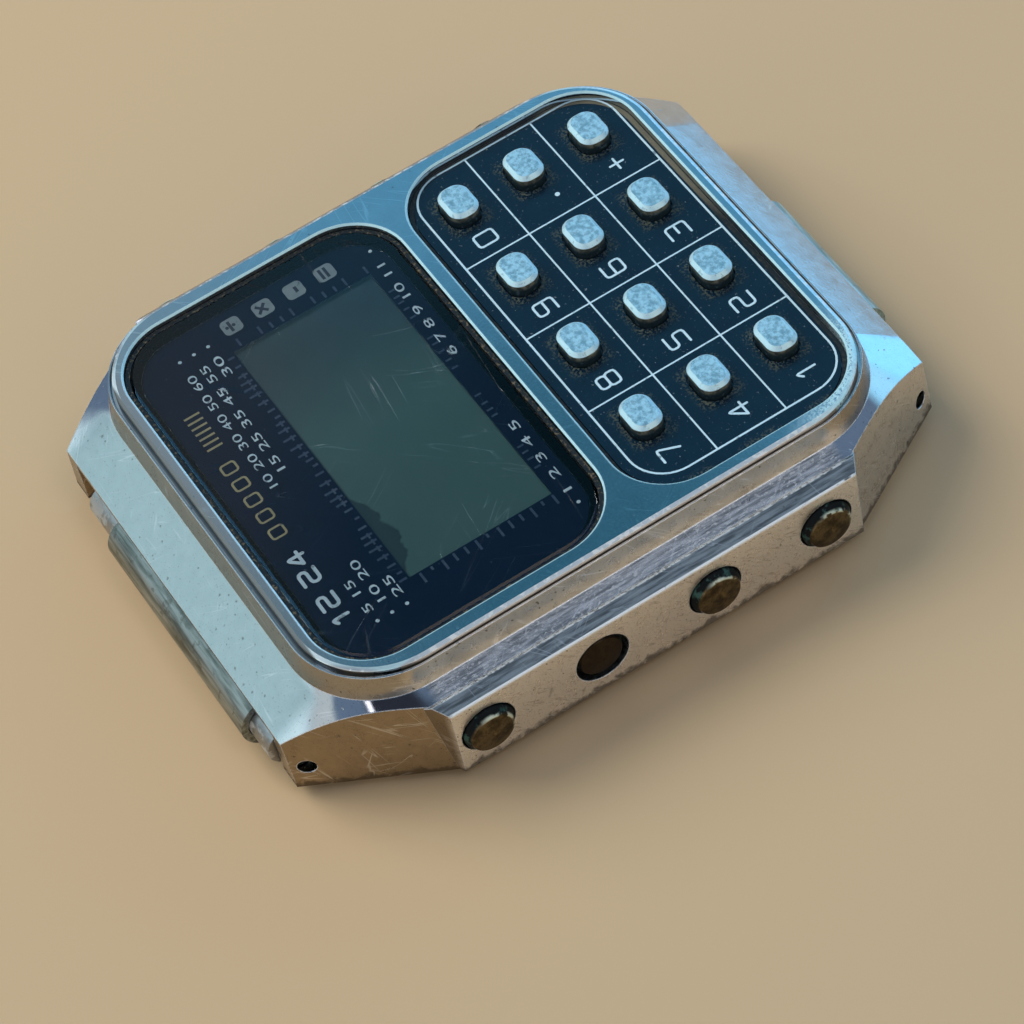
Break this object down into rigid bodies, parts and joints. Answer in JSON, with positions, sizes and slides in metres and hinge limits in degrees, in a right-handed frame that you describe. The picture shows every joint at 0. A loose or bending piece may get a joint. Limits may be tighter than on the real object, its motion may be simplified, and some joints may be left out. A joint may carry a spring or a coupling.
{
  "type": "calculator watch",
  "caption": "Calculator watch head with a display window, a keypad of small keys, side pushers, spring bars and rolled end-link stubs.",
  "frame": {"origin": "middle of the case back's outer face, on the surface the watch lies on", "axes": "+X to 3 o'clock, +Y to 12 o'clock, +Z out of the dial"},
  "size_m": [0.0356, 0.0422, 0.0083],
  "materials": {
    "case_chrome": "worn, pitted chrome plating",
    "bezel_chrome": "chrome plating, scratched",
    "crystal_glass": "clear mineral glass, scratched",
    "seal_rubber": "matt black rubber",
    "printed_film": "dark blue print",
    "display_glass": "grey-green display",
    "reflector_foil": "matt foil",
    "keypad_enamel": "dark blue lacquer with white print",
    "mat_rubber": "grey silicone",
    "board_resin": "green board",
    "steel_wire": "bare steel",
    "back_steel": "brushed stainless steel",
    "module_plastic": "black moulding",
    "battery_steel": "nickel plated steel",
    "worn_brass": "tarnished brass",
    "lamp_glass": "clear glass",
    "key_metal": "frosted, worn plating",
    "link_steel": "dull rolled steel"
  },
  "bodies": {
    "case": {"case_body": "case_chrome", "bezel": "bezel_chrome", "lcd_crystal": "crystal_glass", "crystal_gasket": "seal_rubber", "printed_mask": "printed_film", "lcd_panel": "display_glass", "lcd_reflector": "reflector_foil", "zebra_strips": "seal_rubber", "keypad_plate": "keypad_enamel", "keypad_seal": "seal_rubber", "keypad_rubber": "mat_rubber", "key_contact_board": "board_resin", "pusher_springs": "steel_wire", "pusher_seals": "seal_rubber", "spring_bar_12": "steel_wire", "spring_bar_6": "steel_wire", "case_back": "back_steel", "back_gasket": "seal_rubber", "back_screws": "steel_wire", "module_frame": "module_plastic", "circuit_board": "board_resin", "battery_holder": "module_plastic", "battery": "battery_steel", "battery_clamp": "steel_wire", "sounder": "worn_brass", "lamp": "lamp_glass"},
    "key_7": {"key_7": "key_metal"},
    "key_8": {"key_8": "key_metal"},
    "key_9": {"key_9": "key_metal"},
    "key_0": {"key_0": "key_metal"},
    "key_4": {"key_4": "key_metal"},
    "key_5": {"key_5": "key_metal"},
    "key_6": {"key_6": "key_metal"},
    "key_point": {"key_point": "key_metal"},
    "key_1": {"key_1": "key_metal"},
    "key_2": {"key_2": "key_metal"},
    "key_3": {"key_3": "key_metal"},
    "key_plus": {"key_plus": "key_metal"},
    "pusher_left_1": {"pusher_left_1": "worn_brass", "pusher_clip_left_1": "steel_wire"},
    "pusher_left_2": {"pusher_left_2": "worn_brass", "pusher_clip_left_2": "steel_wire"},
    "pusher_left_3": {"pusher_left_3": "worn_brass", "pusher_clip_left_3": "steel_wire"},
    "pusher_left_4": {"pusher_left_4": "worn_brass", "pusher_clip_left_4": "steel_wire"},
    "pusher_right_1": {"pusher_right_1": "worn_brass", "pusher_clip_right_1": "steel_wire"},
    "pusher_right_2": {"pusher_right_2": "worn_brass", "pusher_clip_right_2": "steel_wire"},
    "pusher_right_3": {"pusher_right_3": "worn_brass", "pusher_clip_right_3": "steel_wire"},
    "pusher_right_4": {"pusher_right_4": "worn_brass", "pusher_clip_right_4": "steel_wire"},
    "bar_tip_12_left": {"bar_tip_12_left": "steel_wire"},
    "bar_tip_12_right": {"bar_tip_12_right": "steel_wire"},
    "end_link_12": {"end_link_12": "link_steel"},
    "bar_tip_6_left": {"bar_tip_6_left": "steel_wire"},
    "bar_tip_6_right": {"bar_tip_6_right": "steel_wire"},
    "end_link_6": {"end_link_6": "link_steel"}
  },
  "joints": [
    {"name": "press_key_7", "type": "slide", "parent": "case", "child": "key_7", "axis": [0, 0, -1], "range_m": [0, 0.0003], "stiffness_N_per_m": 400, "springref_m": -0.0002},
    {"name": "press_key_8", "type": "slide", "parent": "case", "child": "key_8", "axis": [0, 0, -1], "range_m": [0, 0.0003], "stiffness_N_per_m": 400, "springref_m": -0.0002},
    {"name": "press_key_9", "type": "slide", "parent": "case", "child": "key_9", "axis": [0, 0, -1], "range_m": [0, 0.0003], "stiffness_N_per_m": 400, "springref_m": -0.0002},
    {"name": "press_key_0", "type": "slide", "parent": "case", "child": "key_0", "axis": [0, 0, -1], "range_m": [0, 0.0003], "stiffness_N_per_m": 400, "springref_m": -0.0002},
    {"name": "press_key_4", "type": "slide", "parent": "case", "child": "key_4", "axis": [0, 0, -1], "range_m": [0, 0.0003], "stiffness_N_per_m": 400, "springref_m": -0.0002},
    {"name": "press_key_5", "type": "slide", "parent": "case", "child": "key_5", "axis": [0, 0, -1], "range_m": [0, 0.0003], "stiffness_N_per_m": 400, "springref_m": -0.0002},
    {"name": "press_key_6", "type": "slide", "parent": "case", "child": "key_6", "axis": [0, 0, -1], "range_m": [0, 0.0003], "stiffness_N_per_m": 400, "springref_m": -0.0002},
    {"name": "press_key_point", "type": "slide", "parent": "case", "child": "key_point", "axis": [0, 0, -1], "range_m": [0, 0.0003], "stiffness_N_per_m": 400, "springref_m": -0.0002},
    {"name": "press_key_1", "type": "slide", "parent": "case", "child": "key_1", "axis": [0, 0, -1], "range_m": [0, 0.0003], "stiffness_N_per_m": 400, "springref_m": -0.0002},
    {"name": "press_key_2", "type": "slide", "parent": "case", "child": "key_2", "axis": [0, 0, -1], "range_m": [0, 0.0003], "stiffness_N_per_m": 400, "springref_m": -0.0002},
    {"name": "press_key_3", "type": "slide", "parent": "case", "child": "key_3", "axis": [0, 0, -1], "range_m": [0, 0.0003], "stiffness_N_per_m": 400, "springref_m": -0.0002},
    {"name": "press_key_plus", "type": "slide", "parent": "case", "child": "key_plus", "axis": [0, 0, -1], "range_m": [0, 0.0003], "stiffness_N_per_m": 400, "springref_m": -0.0002},
    {"name": "press_pusher_left_1", "type": "slide", "parent": "case", "child": "pusher_left_1", "axis": [1, 0, 0], "range_m": [0, 0.0008], "stiffness_N_per_m": 500, "springref_m": -0.0003},
    {"name": "press_pusher_left_2", "type": "slide", "parent": "case", "child": "pusher_left_2", "axis": [1, 0, 0], "range_m": [0, 0.0002], "stiffness_N_per_m": 500, "springref_m": -0.0003},
    {"name": "press_pusher_left_3", "type": "slide", "parent": "case", "child": "pusher_left_3", "axis": [1, 0, 0], "range_m": [0, 0.0008], "stiffness_N_per_m": 500, "springref_m": -0.0003},
    {"name": "press_pusher_left_4", "type": "slide", "parent": "case", "child": "pusher_left_4", "axis": [1, 0, 0], "range_m": [0, 0.0008], "stiffness_N_per_m": 500, "springref_m": -0.0003},
    {"name": "press_pusher_right_1", "type": "slide", "parent": "case", "child": "pusher_right_1", "axis": [-1, 0, 0], "range_m": [0, 0.0008], "stiffness_N_per_m": 500, "springref_m": -0.0003},
    {"name": "press_pusher_right_2", "type": "slide", "parent": "case", "child": "pusher_right_2", "axis": [-1, 0, 0], "range_m": [0, 0.0008], "stiffness_N_per_m": 500, "springref_m": -0.0003},
    {"name": "press_pusher_right_3", "type": "slide", "parent": "case", "child": "pusher_right_3", "axis": [-1, 0, 0], "range_m": [0, 0.0008], "stiffness_N_per_m": 500, "springref_m": -0.0003},
    {"name": "press_pusher_right_4", "type": "slide", "parent": "case", "child": "pusher_right_4", "axis": [-1, 0, 0], "range_m": [0, 0.0008], "stiffness_N_per_m": 500, "springref_m": -0.0003},
    {"name": "press_bar_tip_12_left", "type": "slide", "parent": "case", "child": "bar_tip_12_left", "axis": [1, 0, 0], "range_m": [0, 0.0012], "stiffness_N_per_m": 700, "springref_m": -0.0008},
    {"name": "press_bar_tip_12_right", "type": "slide", "parent": "case", "child": "bar_tip_12_right", "axis": [-1, 0, 0], "range_m": [0, 0.0012], "stiffness_N_per_m": 700, "springref_m": -0.0008},
    {"name": "turn_end_link_12", "type": "hinge", "parent": "case", "child": "end_link_12", "pos_m": [0, 0.01935, 0.0022], "axis": [1, 0, 0], "continuous": true},
    {"name": "press_bar_tip_6_left", "type": "slide", "parent": "case", "child": "bar_tip_6_left", "axis": [1, 0, 0], "range_m": [0, 0.0012], "stiffness_N_per_m": 700, "springref_m": -0.0008},
    {"name": "press_bar_tip_6_right", "type": "slide", "parent": "case", "child": "bar_tip_6_right", "axis": [-1, 0, 0], "range_m": [0, 0.0012], "stiffness_N_per_m": 700, "springref_m": -0.0008},
    {"name": "turn_end_link_6", "type": "hinge", "parent": "case", "child": "end_link_6", "pos_m": [0, -0.01935, 0.0022], "axis": [1, 0, 0], "continuous": true}
  ]
}
